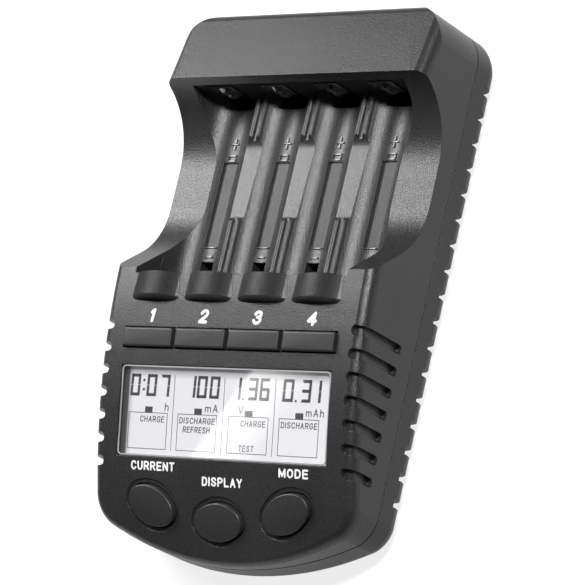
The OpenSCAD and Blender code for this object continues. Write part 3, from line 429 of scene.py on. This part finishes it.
ROUND_LEFT = [(4, 4.6), (3.3, 5.7), (2, 6), (0.8, 5.6), (0, 4.3), (0, 1.7), (0.8, 0.4), (2, 0)]
BOWL = [(0, 2.8), (2.6, 2.8), (3.7, 3.3), (4, 4.4), (3.7, 5.5), (2.6, 6), (0, 6), (0, 0)]
GLYPHS = {
    "A": [[(0, 0), (2, 6), (4, 0)], [(0.7, 2), (3.3, 2)]],
    "C": [ROUND_LEFT + [(3.3, 0.3), (4, 1.4)]],
    "D": [[(0, 0), (0, 6), (2, 6), (3.4, 5.4), (4, 4), (4, 2), (3.4, 0.6), (2, 0), (0, 0)]],
    "E": [[(3.8, 6), (0, 6), (0, 0), (3.8, 0)], [(0, 3.1), (3.4, 3.1)]],
    "F": [[(3.8, 6), (0, 6), (0, 0)], [(0, 3.1), (3.3, 3.1)]],
    "G": [ROUND_LEFT + [(3.3, 0.4), (4, 1.4), (4, 2.8), (2.2, 2.8)]],
    "H": [[(0, 0), (0, 6)], [(4, 0), (4, 6)], [(0, 3.1), (4, 3.1)]],
    "I": [[(0, 0), (0, 6)]],
    "L": [[(0, 6), (0, 0), (3.6, 0)]],
    "M": [[(0, 0), (0, 6), (2.4, 0.6), (4.8, 6), (4.8, 0)]],
    "N": [[(0, 0), (0, 6), (4, 0), (4, 6)]],
    "O": [ROUND_LEFT + [(3.2, 0.4), (4, 1.7), (4, 4.3), (3.2, 5.6), (2, 6)]],
    "P": [BOWL],
    "R": [BOWL, [(2.2, 2.8), (4, 0)]],
    "S": [[(3.9, 4.7), (3.2, 5.7), (2, 6), (0.8, 5.7), (0.1, 4.6), (0.8, 3.5), (3.2, 2.6),
           (4, 1.5), (3.2, 0.3), (2, 0), (0.7, 0.3), (0, 1.4)]],
    "T": [[(0, 6), (4, 6)], [(2, 6), (2, 0)]],
    "U": [[(0, 6), (0, 1.6), (0.8, 0.3), (2, 0), (3.2, 0.3), (4, 1.6), (4, 6)]],
    "V": [[(0, 6), (2, 0), (4, 6)]],
    "Y": [[(0, 6), (2, 2.8), (4, 6)], [(2, 2.8), (2, 0)]],
    "h": [[(0, 0), (0, 6)], [(0, 3), (1, 4), (2.2, 4), (3, 3), (3, 0)]],
    "m": [[(0, 0), (0, 4)], [(0, 3), (1, 4), (1.8, 4), (2.5, 3), (2.5, 0)],
          [(2.5, 3), (3.4, 4), (4.3, 4), (5, 3), (5, 0)]],
    "1": [[(0.6, 4.6), (2.2, 6), (2.2, 0)]],
    "2": [[(0.1, 4.5), (0.9, 5.7), (2, 6), (3.2, 5.6), (3.8, 4.5), (3.4, 3.3), (0, 0), (4, 0)]],
    "3": [[(0.1, 4.7), (0.9, 5.7), (2, 6), (3.3, 5.5), (3.7, 4.5), (3.2, 3.5), (1.8, 3.2),
           (3.4, 2.8), (4, 1.6), (3.3, 0.4), (2, 0), (0.8, 0.3), (0, 1.4)]],
    "4": [[(3, 0), (3, 6), (0, 1.8), (4.2, 1.8)]],
}
GLYPH_H, GLYPH_GAP = 6.0, 2.6
INK_T = 0.03


def stroke_bar(bm, a, b, w):
    """One stroke of a letter: a flat bar with round ends between two points."""
    turn = math.atan2(b[1] - a[1], b[0] - a[0])
    outline = []
    for end, start in ((b, -90), (a, 90)):
        for i in range(5):
            t = turn + math.radians(start + 45 * i)
            outline.append((end[0] + w / 2 * math.cos(t), end[1] + w / 2 * math.sin(t)))
    slab(bm, outline, 0.0, INK_T)


def words(name, text, place, width, height, stroke, material, slant=0.0):
    """Lettering of that width and height in mm, with its middle at the place."""
    spans = [max(x for line in GLYPHS[c] for x, _ in line) for c in text]
    total = sum(spans) + GLYPH_GAP * (len(text) - 1)
    fit_x = (width - stroke) / total
    fit_y = (height - stroke) / GLYPH_H
    bm = bmesh.new()
    x0 = -total / 2
    for c, wide in zip(text, spans):
        for line in GLYPHS[c]:
            upright = [((x0 + x) * fit_x, (y - GLYPH_H / 2) * fit_y) for x, y in line]
            points = [(x + slant * y, y) for x, y in upright]
            for a, b in zip(points, points[1:]):
                stroke_bar(bm, a, b, stroke)
        x0 += wide + GLYPH_GAP
    add_mesh(name, bm, place, material)


NUMBER_SHIFT, NUMBER_Y, NUMBER_H, NUMBER_STROKE, NUMBER_SLANT = -0.1, -11.6, 3.3, 0.72, 0.2
NUMBER_W = {"1": 1.6, "2": 2.6, "3": 2.6, "4": 2.7}
LABEL_H, LABEL_STROKE = 2.1, 0.42
# Labels of the oval keys, with the place and the width of each
LABELS = [
    ("label_current", "CURRENT", -19.35, -44.9, 12.9),
    ("label_display", "DISPLAY", 1.0, -47.5, 11.6),
    ("label_mode", "MODE", 21.3, -44.8, 8.3),
]
for text, x in zip("1234", SLOTS):
    place = on_panel(x + NUMBER_SHIFT, NUMBER_Y)
    words("number_" + text, text, place, NUMBER_W[text], NUMBER_H, NUMBER_STROKE, white_ink_painted_glow, NUMBER_SLANT)
for name, text, x, y, width in LABELS:
    words(name, text, on_panel(x, y), width, LABEL_H, LABEL_STROKE, white_ink_painted_glow)


# Window

FILM_T, FILM_INSET = 0.05, 0.05
FILM_TOP = PANE_LOW + FILM_T
MARK_TOP = FILM_TOP + INK_T
PANE_GAP, PANE_BEVEL = 0.02, 0.3
EDGE_OUTER, EDGE_INNER, EDGE_DEPTH, EDGE_PROUD = 0.02, 0.34, 0.2, 0.02
pane_place = on_panel(0, PANE_Y)


def pane_outline(inset):
    """The pane's rounded rectangle, drawn in by an inset."""
    x, y = PANE_W / 2 - inset, PANE_L / 2 - inset
    return box_outline(-x, -y, x, y, PANE_CORNER_R - inset)


def build_window():
    """The pane with its polished bevel, the pale layer behind it with its painted shade and glow, and a
    pale line round its face that is a painted highlight on the pane's edge.
    """
    bm = bmesh.new()
    levels = [(MARK_TOP + PANE_GAP, 0.0), (PANE_TOP - PANE_BEVEL, 0.0), (PANE_TOP, PANE_BEVEL)]
    skin(bm, [[(x, y, z) for x, y in pane_outline(inset)] for z, inset in levels])
    pane = add_mesh("display_pane", bm, pane_place, pane_clear)
    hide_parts("lcd_window")
    bm = bmesh.new()
    slab(bm, pane_outline(FILM_INSET), PANE_LOW, FILM_TOP)
    add_mesh("display_layer", bm, pane_place, display_painted_shade_and_glow)
    # A pale ring round the pane's face: a painted highlight on its edge
    bm = bmesh.new()
    outer, inner = pane_outline(EDGE_OUTER), pane_outline(EDGE_INNER)
    ring(bm, outer, inner, PANE_TOP - EDGE_DEPTH, PANE_TOP + EDGE_PROUD)
    add_mesh("display_edge", bm, pane_place, pane_edge_painted_highlight)


build_window()


# Marks of the display, placed from the middle of the pane

MARK_SHIFT = -1.1
SEGMENTS = {"0": "abcdef", "1": "bc", "3": "abcdg", "6": "acdefg", "7": "abc"}
DIGIT_LOW, DIGIT_HIGH, STROKE, SEGMENT_GAP, LEAN = 3.3, 8.3, 0.7, 0.05, 0.05
DOTS = {".": [DIGIT_LOW], ":": [DIGIT_LOW + 1.2, DIGIT_HIGH - 1.7]}
# Each sign of a reading has its left and its right side
READINGS = {
    "reading_time": [("0", -27.1, -24.3), (":", -23.4, -22.8), ("0", -22.3, -19.4), ("7", -18.3, -15.5)],
    "reading_current": [("1", -8.75, -7.8), ("0", -7.35, -4.5), ("0", -3.65, -0.85)],
    "reading_volts": [("1", 4.45, 5.4), (".", 5.85, 6.35), ("3", 7.4, 10.1), ("6", 10.75, 13.5)],
    "reading_charge": [("0", 17.3, 20.3), (".", 20.9, 21.4), ("3", 22.5, 25.2), ("1", 27.1, 28.0)],
}
# A cell outline has its left and right side and the middle of its nub
OUTLINES = [(-27.1, -15.5, -21.2), (-12.5, -1.0, -6.6), (2.3, 13.8, 8.05), (16.8, 28.0, 22.4)]
OUTLINE_LOW, OUTLINE_HIGH, OUTLINE_LINE = -8.67, -0.36, 0.16
OUTLINE_NUB_HIGH, OUTLINE_NUB_HALF = 0.95, 1.1
DIVIDERS = [-14.0, 0.67, 15.3]
DIVIDER_LOW, DIVIDER_HIGH, DIVIDER_HALF = -8.9, 8.15, 0.07
# Words have their middle and their width
UNITS = [
    ("unit_hours", "h", -15.9, 1.0, 1.1), ("unit_current", "mA", -2.75, 1.1, 3.7),
    ("unit_volts", "V", 5.7, 1.1, 1.5), ("unit_charge", "mAh", 26.7, 1.1, 5.0),
]
MODES = [
    ("mode_charge_1", "CHARGE", -20.0, -1.86, 7.2), ("mode_discharge_2", "DISCHARGE", -6.7, -1.84, 10.4),
    ("mode_refresh_2", "REFRESH", -6.8, -3.85, 7.8), ("mode_charge_3", "CHARGE", 9.45, -1.9, 7.1),
    ("mode_test_3", "TEST", 7.9, -7.45, 4.35), ("mode_discharge_4", "DISCHARGE", 22.5, -1.8, 10.2),
]
UNIT_H, UNIT_STROKE = 1.8, 0.22
MODE_H, MODE_STROKE = 1.4, 0.2


def mark(bm, outline):
    """A flat mark on the display."""
    slab(bm, outline, FILM_TOP, MARK_TOP)


def segment_points(which, x0, x1):
    """Outline of one bar of a seven-bar digit that stands between two sides."""
    s = STROKE
    middle = (DIGIT_LOW + DIGIT_HIGH) / 2
    left, right = x0 + SEGMENT_GAP, x1 - SEGMENT_GAP
    if which == "a":
        y = DIGIT_HIGH - s
        points = [(left, y + s), (right, y + s), (right - s / 2, y), (left + s / 2, y)]
    elif which == "d":
        y = DIGIT_LOW
        points = [(left + s / 2, y + s), (right - s / 2, y + s), (right, y), (left, y)]
    elif which == "g":
        y = middle - s / 2
        points = [(left + s / 3, y + s), (right - s / 3, y + s), (right, y + s / 2),
                  (right - s / 3, y), (left + s / 3, y), (left, y + s / 2)]
    else:
        x = x0 if which in "ef" else x1 - s
        low, high = (middle, DIGIT_HIGH) if which in "bf" else (DIGIT_LOW, middle)
        points = box_outline(x, low + SEGMENT_GAP, x + s, high - SEGMENT_GAP)
    return [(px + LEAN * (py - DIGIT_LOW), py) for px, py in points]


def build_reading(name, signs):
    """A row of digits, points and colons."""
    bm = bmesh.new()
    for sign, left, right in signs:
        x0, x1 = left + MARK_SHIFT, right + MARK_SHIFT
        for which in SEGMENTS.get(sign, ""):
            mark(bm, segment_points(which, x0, x1))
        for y in DOTS.get(sign, []):
            mark(bm, box_outline(x0, y, x1, y + x1 - x0))
    add_mesh(name, bm, pane_place, segment_ink)


def line_frame(bm, x0, y0, x1, y1, w):
    """Four thin bars round a rectangle."""
    bars = [
        (x0, y0, x1, y0 + w), (x0, y1 - w, x1, y1),
        (x0, y0 + w, x0 + w, y1 - w), (x1 - w, y0 + w, x1, y1 - w),
    ]
    for bar in bars:
        mark(bm, box_outline(*bar))


def build_outline(number, left, right, nub):
    """Outline of a cell and its nub."""
    bm = bmesh.new()
    line_frame(bm, left + MARK_SHIFT, OUTLINE_LOW, right + MARK_SHIFT, OUTLINE_HIGH, OUTLINE_LINE)
    add_mesh("cell_outline_%d" % number, bm, pane_place, line_ink)
    bm = bmesh.new()
    x0, x1 = nub - OUTLINE_NUB_HALF + MARK_SHIFT, nub + OUTLINE_NUB_HALF + MARK_SHIFT
    mark(bm, box_outline(x0, OUTLINE_HIGH, x1, OUTLINE_NUB_HIGH))
    add_mesh("cell_nub_%d" % number, bm, pane_place, segment_ink)


def build_dividers():
    """Lines between the columns of the slots."""
    bm = bmesh.new()
    for x in DIVIDERS:
        x0, x1 = x - DIVIDER_HALF + MARK_SHIFT, x + DIVIDER_HALF + MARK_SHIFT
        mark(bm, box_outline(x0, DIVIDER_LOW, x1, DIVIDER_HIGH))
    add_mesh("display_dividers", bm, pane_place, line_ink)


def build_words(rows, height, stroke):
    """Words on the display."""
    for name, text, x, y, width in rows:
        place = pane_place @ Matrix.Translation(Vector((x + MARK_SHIFT, y, FILM_TOP)) * MM)
        words(name, text, place, width, height, stroke, segment_ink, LEAN)


for name, signs in READINGS.items():
    build_reading(name, signs)
for i, (left, right, nub) in enumerate(OUTLINES):
    build_outline(i + 1, left, right, nub)
build_dividers()
build_words(UNITS, UNIT_H, UNIT_STROKE)
build_words(MODES, MODE_H, MODE_STROKE)


# Raised signs on the channel floors, as bars with a left, a low, a right and a high side

SIGN_RISE, SIGN_SUNK, SIGN_SOFT = 0.3, 0.05, 0.08
SIGN_HALF = 0.25
PLUS_Y, PLUS_ARM_X, PLUS_ARM_Y = 35.4, 1.2, 1.4
NUB_LOW, NUB_HIGH, NUB_X, NUB_LINE = 31.0, 32.8, 1.4, 0.5
MINUS_Y, MINUS_ARM = 7.5, 1.2
LINE_LOW, LINE_HIGH, LINE_X = 9.6, 10.0, 2.1
SIGNS = {
    "plus_sign": [
        (-PLUS_ARM_X, PLUS_Y - SIGN_HALF, PLUS_ARM_X, PLUS_Y + SIGN_HALF),
        (-SIGN_HALF, PLUS_Y + SIGN_HALF, SIGN_HALF, PLUS_Y + PLUS_ARM_Y),
        (-SIGN_HALF, PLUS_Y - PLUS_ARM_Y, SIGN_HALF, PLUS_Y - SIGN_HALF),
    ],
    "cell_nub_sign": [
        (-NUB_X, NUB_LOW, NUB_X, NUB_LOW + NUB_LINE),
        (-NUB_X, NUB_HIGH - NUB_LINE, NUB_X, NUB_HIGH),
        (-NUB_X, NUB_LOW + NUB_LINE, -NUB_X + NUB_LINE, NUB_HIGH - NUB_LINE),
        (NUB_X - NUB_LINE, NUB_LOW + NUB_LINE, NUB_X, NUB_HIGH - NUB_LINE),
    ],
    "minus_sign": [
        (-MINUS_ARM, MINUS_Y - SIGN_HALF, MINUS_ARM, MINUS_Y + SIGN_HALF),
        (-LINE_X, LINE_LOW, LINE_X, LINE_HIGH),
    ],
}


def channel_floor(x):
    """Height of a channel's round floor at a distance from its middle."""
    return CELL_AXIS_H + LIFT - math.sqrt(CHANNEL_R ** 2 - x * x)


def floor_bar(bm, x0, y0, x1, y1, steps=6):
    """A bar that lies on the round floor of a channel, with its edges drawn in at the top."""
    for i in range(steps):
        a, b = (x0 + (x1 - x0) * k / steps for k in (i, i + 1))
        top_a = a + SIGN_SOFT if i == 0 else a
        top_b = b - SIGN_SOFT if i == steps - 1 else b
        low_a, low_b = channel_floor(a) - SIGN_SUNK, channel_floor(b) - SIGN_SUNK
        high_a, high_b = channel_floor(a) + SIGN_RISE, channel_floor(b) + SIGN_RISE
        top_y0, top_y1 = y0 + SIGN_SOFT, y1 - SIGN_SOFT
        low = [(a, y0, low_a), (b, y0, low_b), (b, y1, low_b), (a, y1, low_a)]
        high = [(top_a, top_y0, high_a), (top_b, top_y0, high_b),
                (top_b, top_y1, high_b), (top_a, top_y1, high_a)]
        skin(bm, [low, high])


for i, x in enumerate(SLOTS):
    for name, bars in SIGNS.items():
        bm = bmesh.new()
        for bar in bars:
            floor_bar(bm, *bar)
        add_mesh("%s_%d" % (name, i + 1), bm, Matrix.Translation((x * MM, 0, 0)), sign_plastic_painted_highlight)


# Keys

OVAL_RIM = 0.45
BAR_RIM, BAR_RIM_LOW, BAR_CORNER_R = 0.5, 0.5, 0.25


def rounding(low, high, depth, steps):
    """Heights and insets of an edge that rounds over from one height to another."""
    turns = [math.radians(90 * i / steps) for i in range(steps + 1)]
    return [(low + (high - low) * math.sin(a), depth * (1 - math.cos(a))) for a in turns]


def build_oval_key(name, x, y, turn):
    """An oval key with a rounded rim and a flange under the panel."""
    levels = [(KEY_LOW, -FLANGE_W), (FLANGE_TOP, -FLANGE_W), (FLANGE_TOP, 0.0)]
    levels += rounding(KEY_TOP - OVAL_RIM, KEY_TOP, OVAL_RIM, 4)
    rings = []
    for z, inset in levels:
        outline = oval_outline(OVAL_W - 2 * inset, OVAL_L - 2 * inset)
        rings.append([(px, py, z) for px, py in outline])
    bm = bmesh.new()
    skin(bm, rings)
    key = add_mesh(name + "_cap", bm, on_panel(x, y, turn), key_plastic, name, True)
    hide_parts(name)


def build_slot_key(name, x):
    """A bar key, domed like a pillow, with a flange along its long sides."""
    levels = [(KEY_LOW, 0.0, -FLANGE_W), (FLANGE_TOP, 0.0, -FLANGE_W), (FLANGE_TOP, 0.0, 0.0)]
    levels += [(z, inset, inset) for z, inset in rounding(BAR_RIM_LOW, KEY_TOP, BAR_RIM, 8)]
    rings = []
    for z, in_x, in_y in levels:
        half_w, half_l = BAR_W / 2 - in_x, BAR_L / 2 - in_y
        outline = box_outline(-half_w, -half_l, half_w, half_l, BAR_CORNER_R)
        rings.append([(px, py, z) for px, py in outline])
    bm = bmesh.new()
    skin(bm, rings)
    key = add_mesh(name + "_cap", bm, on_panel(x, BAR_Y), key_plastic, name, True)
    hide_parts(name)


for name, (x, y, turn) in OVALS.items():
    build_oval_key(name, x, y, turn)
for i, x in enumerate(SLOTS):
    build_slot_key("slot_button_%d" % (i + 1), x)


# Smooth roundings at the chin's corners

# Reach of a patch along the side and the chin, its height over the case and its thickness
PATCH_SIDE, PATCH_CHIN, PATCH_PROUD, PATCH_T = 4.0, 5.0, 0.04, 0.8
# Reach over the rounding, from 0 at the wall to 1 at the panel, and mm of wall for each 1 below 0
PATCH_LOW, PATCH_HIGH, WALL_REACH = -0.7, 1.06, 3.0
# How deep the ends and the long edges dip under the case, and in how many steps
END_DIP, END_STEPS = 0.2, 6
WALL_DIP, PANEL_DIP, PANEL_STEPS = 0.1, 0.02, 4
SIDE_GAP = 0.01


def outline_place(along):
    """Place and outward direction on the plan of the case, from the side over a corner to the chin."""
    arc = CHIN_CORNER_R * CHIN_CORNER_TURN
    if along < 0:
        return Vector((SIDE_X, CHIN_CORNER_Y - along)), Vector((1, 0))
    if along < arc:
        out = Vector((math.cos(along / CHIN_CORNER_R), -math.sin(along / CHIN_CORNER_R)))
        return Vector((CHIN_CORNER_X, CHIN_CORNER_Y)) + CHIN_CORNER_R * out, out
    a = CHIN_CORNER_TURN + (along - arc) / CHIN_R
    out = Vector((math.cos(a), -math.sin(a)))
    return Vector((0, CHIN_Y + CHIN_R)) + CHIN_R * out, out


def corner_point(side, along, over, proud):
    """A place on the rounding between wall and panel, at a height over it."""
    at, out = outline_place(along)
    rise = math.tan(panel_tilt(at.y))
    slope = rise * out.y
    stretch = math.hypot(1, rise * out.x)
    phi = max(over, 0) * (math.pi / 2 + math.atan(slope))
    reach = EDGE_R * (math.cos(phi) - 1) + proud * math.cos(phi)
    height = EDGE_R * (math.sin(phi) - slope - math.hypot(1, slope)) + proud * math.sin(phi)
    height += WALL_REACH * min(over, 0)
    y = at.y + reach * out.y
    z = panel_height(y) + stretch * (height - slope * reach)
    return side * min(at.x + reach * out.x, SIDE_X - SIDE_GAP), y, z


def corner_grid(bm, side, sink, steps):
    """One face of a patch, as rows of points, sunk by a thickness."""
    length = PATCH_SIDE + CHIN_CORNER_R * CHIN_CORNER_TURN + PATCH_CHIN
    rows = []
    for i in range(steps + 1):
        along = length * i / steps - PATCH_SIDE
        end_dip = END_DIP * max(0.0, 1 - min(i, steps - i) / END_STEPS)
        row = []
        for j in range(steps + 1):
            over = PATCH_LOW + (PATCH_HIGH - PATCH_LOW) * j / steps
            dip = WALL_DIP if j == 0 else PANEL_DIP * max(0, j - steps + PANEL_STEPS)
            proud = PATCH_PROUD - end_dip - dip - sink
            row.append(bm.verts.new(corner_point(side, along, over, proud)))
        rows.append(row)
    for low, high in zip(rows, rows[1:]):
        for j in range(steps):
            bm.faces.new((low[j], low[j + 1], high[j + 1], high[j]))
    return rows


def border(rows):
    """Points round the edge of a grid, in order."""
    right = [row[-1] for row in rows[1:]]
    left = [row[0] for row in rows[-2:0:-1]]
    return rows[0] + right + rows[-1][-2::-1] + left


def build_corner(name, side, steps=40):
    """A patch over a corner of the chin that runs into the panel, the side and the chin at its edges."""
    bm = bmesh.new()
    top, low = (border(corner_grid(bm, side, sink, steps)) for sink in (0.0, PATCH_T))
    for i in range(len(top)):
        bm.faces.new((top[i - 1], top[i], low[i], low[i - 1]))
    add_mesh(name, bm, Matrix.Identity(4), shell, smooth=True)


build_corner("chin_corner_left", -1)
build_corner("chin_corner_right", 1)


# Camera. Its focal length and its picture's width are in pixels.

CAMERA_AT, CAMERA_TURN = (490.94, -196.04, 591.17), (24.156, 35.926, 15.552)
FOCAL_LENGTH, PICTURE_W, SENSOR_W = 3446.5, 585, 36.0
scene.view_settings.view_transform = "Standard"
camera = bpy.data.objects.new("camera", bpy.data.cameras.new("camera"))
scene.collection.objects.link(camera)
camera.location = Vector(CAMERA_AT) * MM
camera.rotation_euler = [math.radians(a) for a in CAMERA_TURN]
camera.data.sensor_width = SENSOR_W
camera.data.lens = FOCAL_LENGTH / PICTURE_W * SENSOR_W
camera.data.clip_start = 0.01
scene.camera = camera


# Floor and light, in metres

FLOOR_HALF, FLOOR_GAP = 3.0, 0.00005
WORLD_STRENGTH = 0.075
LIGHT_AIM = Vector((0, 0, 0.02))
# Two corners of the glare card and the way it spreads from them
CARD_LOW = Vector((-0.4027, -0.1624, 0.463))
CARD_HIGH = Vector((-0.3671, -0.1124, 0.4853))
CARD_SPREAD = Vector((0.027, -0.0015, 0.007))
CARD_STRENGTH = 5.0


def white_floor(name, lit, strength, mirrored):
    """A floor that glows to the camera, less in reflections and not as a lamp, and keeps its shadows."""
    m, nodes, links, bsdf = new_material(name)
    bsdf.inputs["Base Color"].default_value = (lit, lit, lit, 1)
    bsdf.inputs["Roughness"].default_value = 0.8
    path = nodes.new("ShaderNodeLightPath")
    direct, glossy = path.outputs["Is Camera Ray"], path.outputs["Is Glossy Ray"]
    seen = add_math(nodes, links, "MULTIPLY_ADD", glossy, mirrored, direct)
    glow = add_math(nodes, links, "MULTIPLY", seen, strength)
    bsdf.inputs["Emission Color"].default_value = (1, 1, 1, 1)
    links.new(glow, bsdf.inputs["Emission Strength"])
    return m


def add_floor():
    """A wide floor a hair under the feet."""
    bm = bmesh.new()
    bmesh.ops.create_grid(bm, x_segments=1, y_segments=1, size=FLOOR_HALF)
    mesh = bpy.data.meshes.new("floor")
    bm.to_mesh(mesh)
    bm.free()
    mesh.materials.append(white_floor("floor_white", lit=0.35, strength=0.82, mirrored=0.62))
    floor = bpy.data.objects.new("floor", mesh)
    scene.collection.objects.link(floor)
    floor.location.z = -FLOOR_GAP


def add_world():
    """Even white light from all round."""
    world = bpy.data.worlds.new("studio")
    scene.world = world
    world.use_nodes = True
    background = world.node_tree.nodes["Background"]
    background.inputs["Color"].default_value = (1, 1, 1, 1)
    background.inputs["Strength"].default_value = WORLD_STRENGTH


def glare_card():
    """A bright card out of the picture that fades to one side, seen mirrored in the pane."""
    m, nodes, links, bsdf = new_material("card_glow")
    bsdf.inputs["Base Color"].default_value = (0, 0, 0, 1)
    fade = nodes.new("ShaderNodeAttribute")
    fade.attribute_name = "fade"
    glow = add_math(nodes, links, "MULTIPLY", fade.outputs["Fac"], CARD_STRENGTH)
    bsdf.inputs["Emission Color"].default_value = (1, 1, 1, 1)
    links.new(glow, bsdf.inputs["Emission Strength"])
    corners = [CARD_LOW, CARD_HIGH, CARD_HIGH + CARD_SPREAD, CARD_LOW + CARD_SPREAD]
    mesh = bpy.data.meshes.new("glare_card")
    mesh.from_pydata([tuple(v) for v in corners], [], [(0, 1, 2, 3)])
    mesh.attributes.new("fade", "FLOAT", "POINT").data.foreach_set("value", [1.0, 1.0, 0.0, 0.0])
    mesh.materials.append(m)
    card = bpy.data.objects.new("glare_card", mesh)
    scene.collection.objects.link(card)


def soft_box(name, toward, distance, size, power):
    """A rectangular lamp in a direction from the object."""
    data = bpy.data.lights.new(name, "AREA")
    data.shape = "RECTANGLE"
    data.size, data.size_y = size
    data.energy = power
    lamp = bpy.data.objects.new(name, data)
    scene.collection.objects.link(lamp)
    lamp.location = LIGHT_AIM + Vector(toward).normalized() * distance
    lamp.rotation_euler = (LIGHT_AIM - lamp.location).to_track_quat("-Z", "Y").to_euler()


add_floor()
add_world()
glare_card()
soft_box("key_light", toward=(-0.68, 0.36, 0.64), distance=0.55, size=(0.25, 0.2), power=2.5)
soft_box("side_light", toward=(0.5, 0.25, 0.83), distance=1.0, size=(0.12, 0.25), power=9.0)
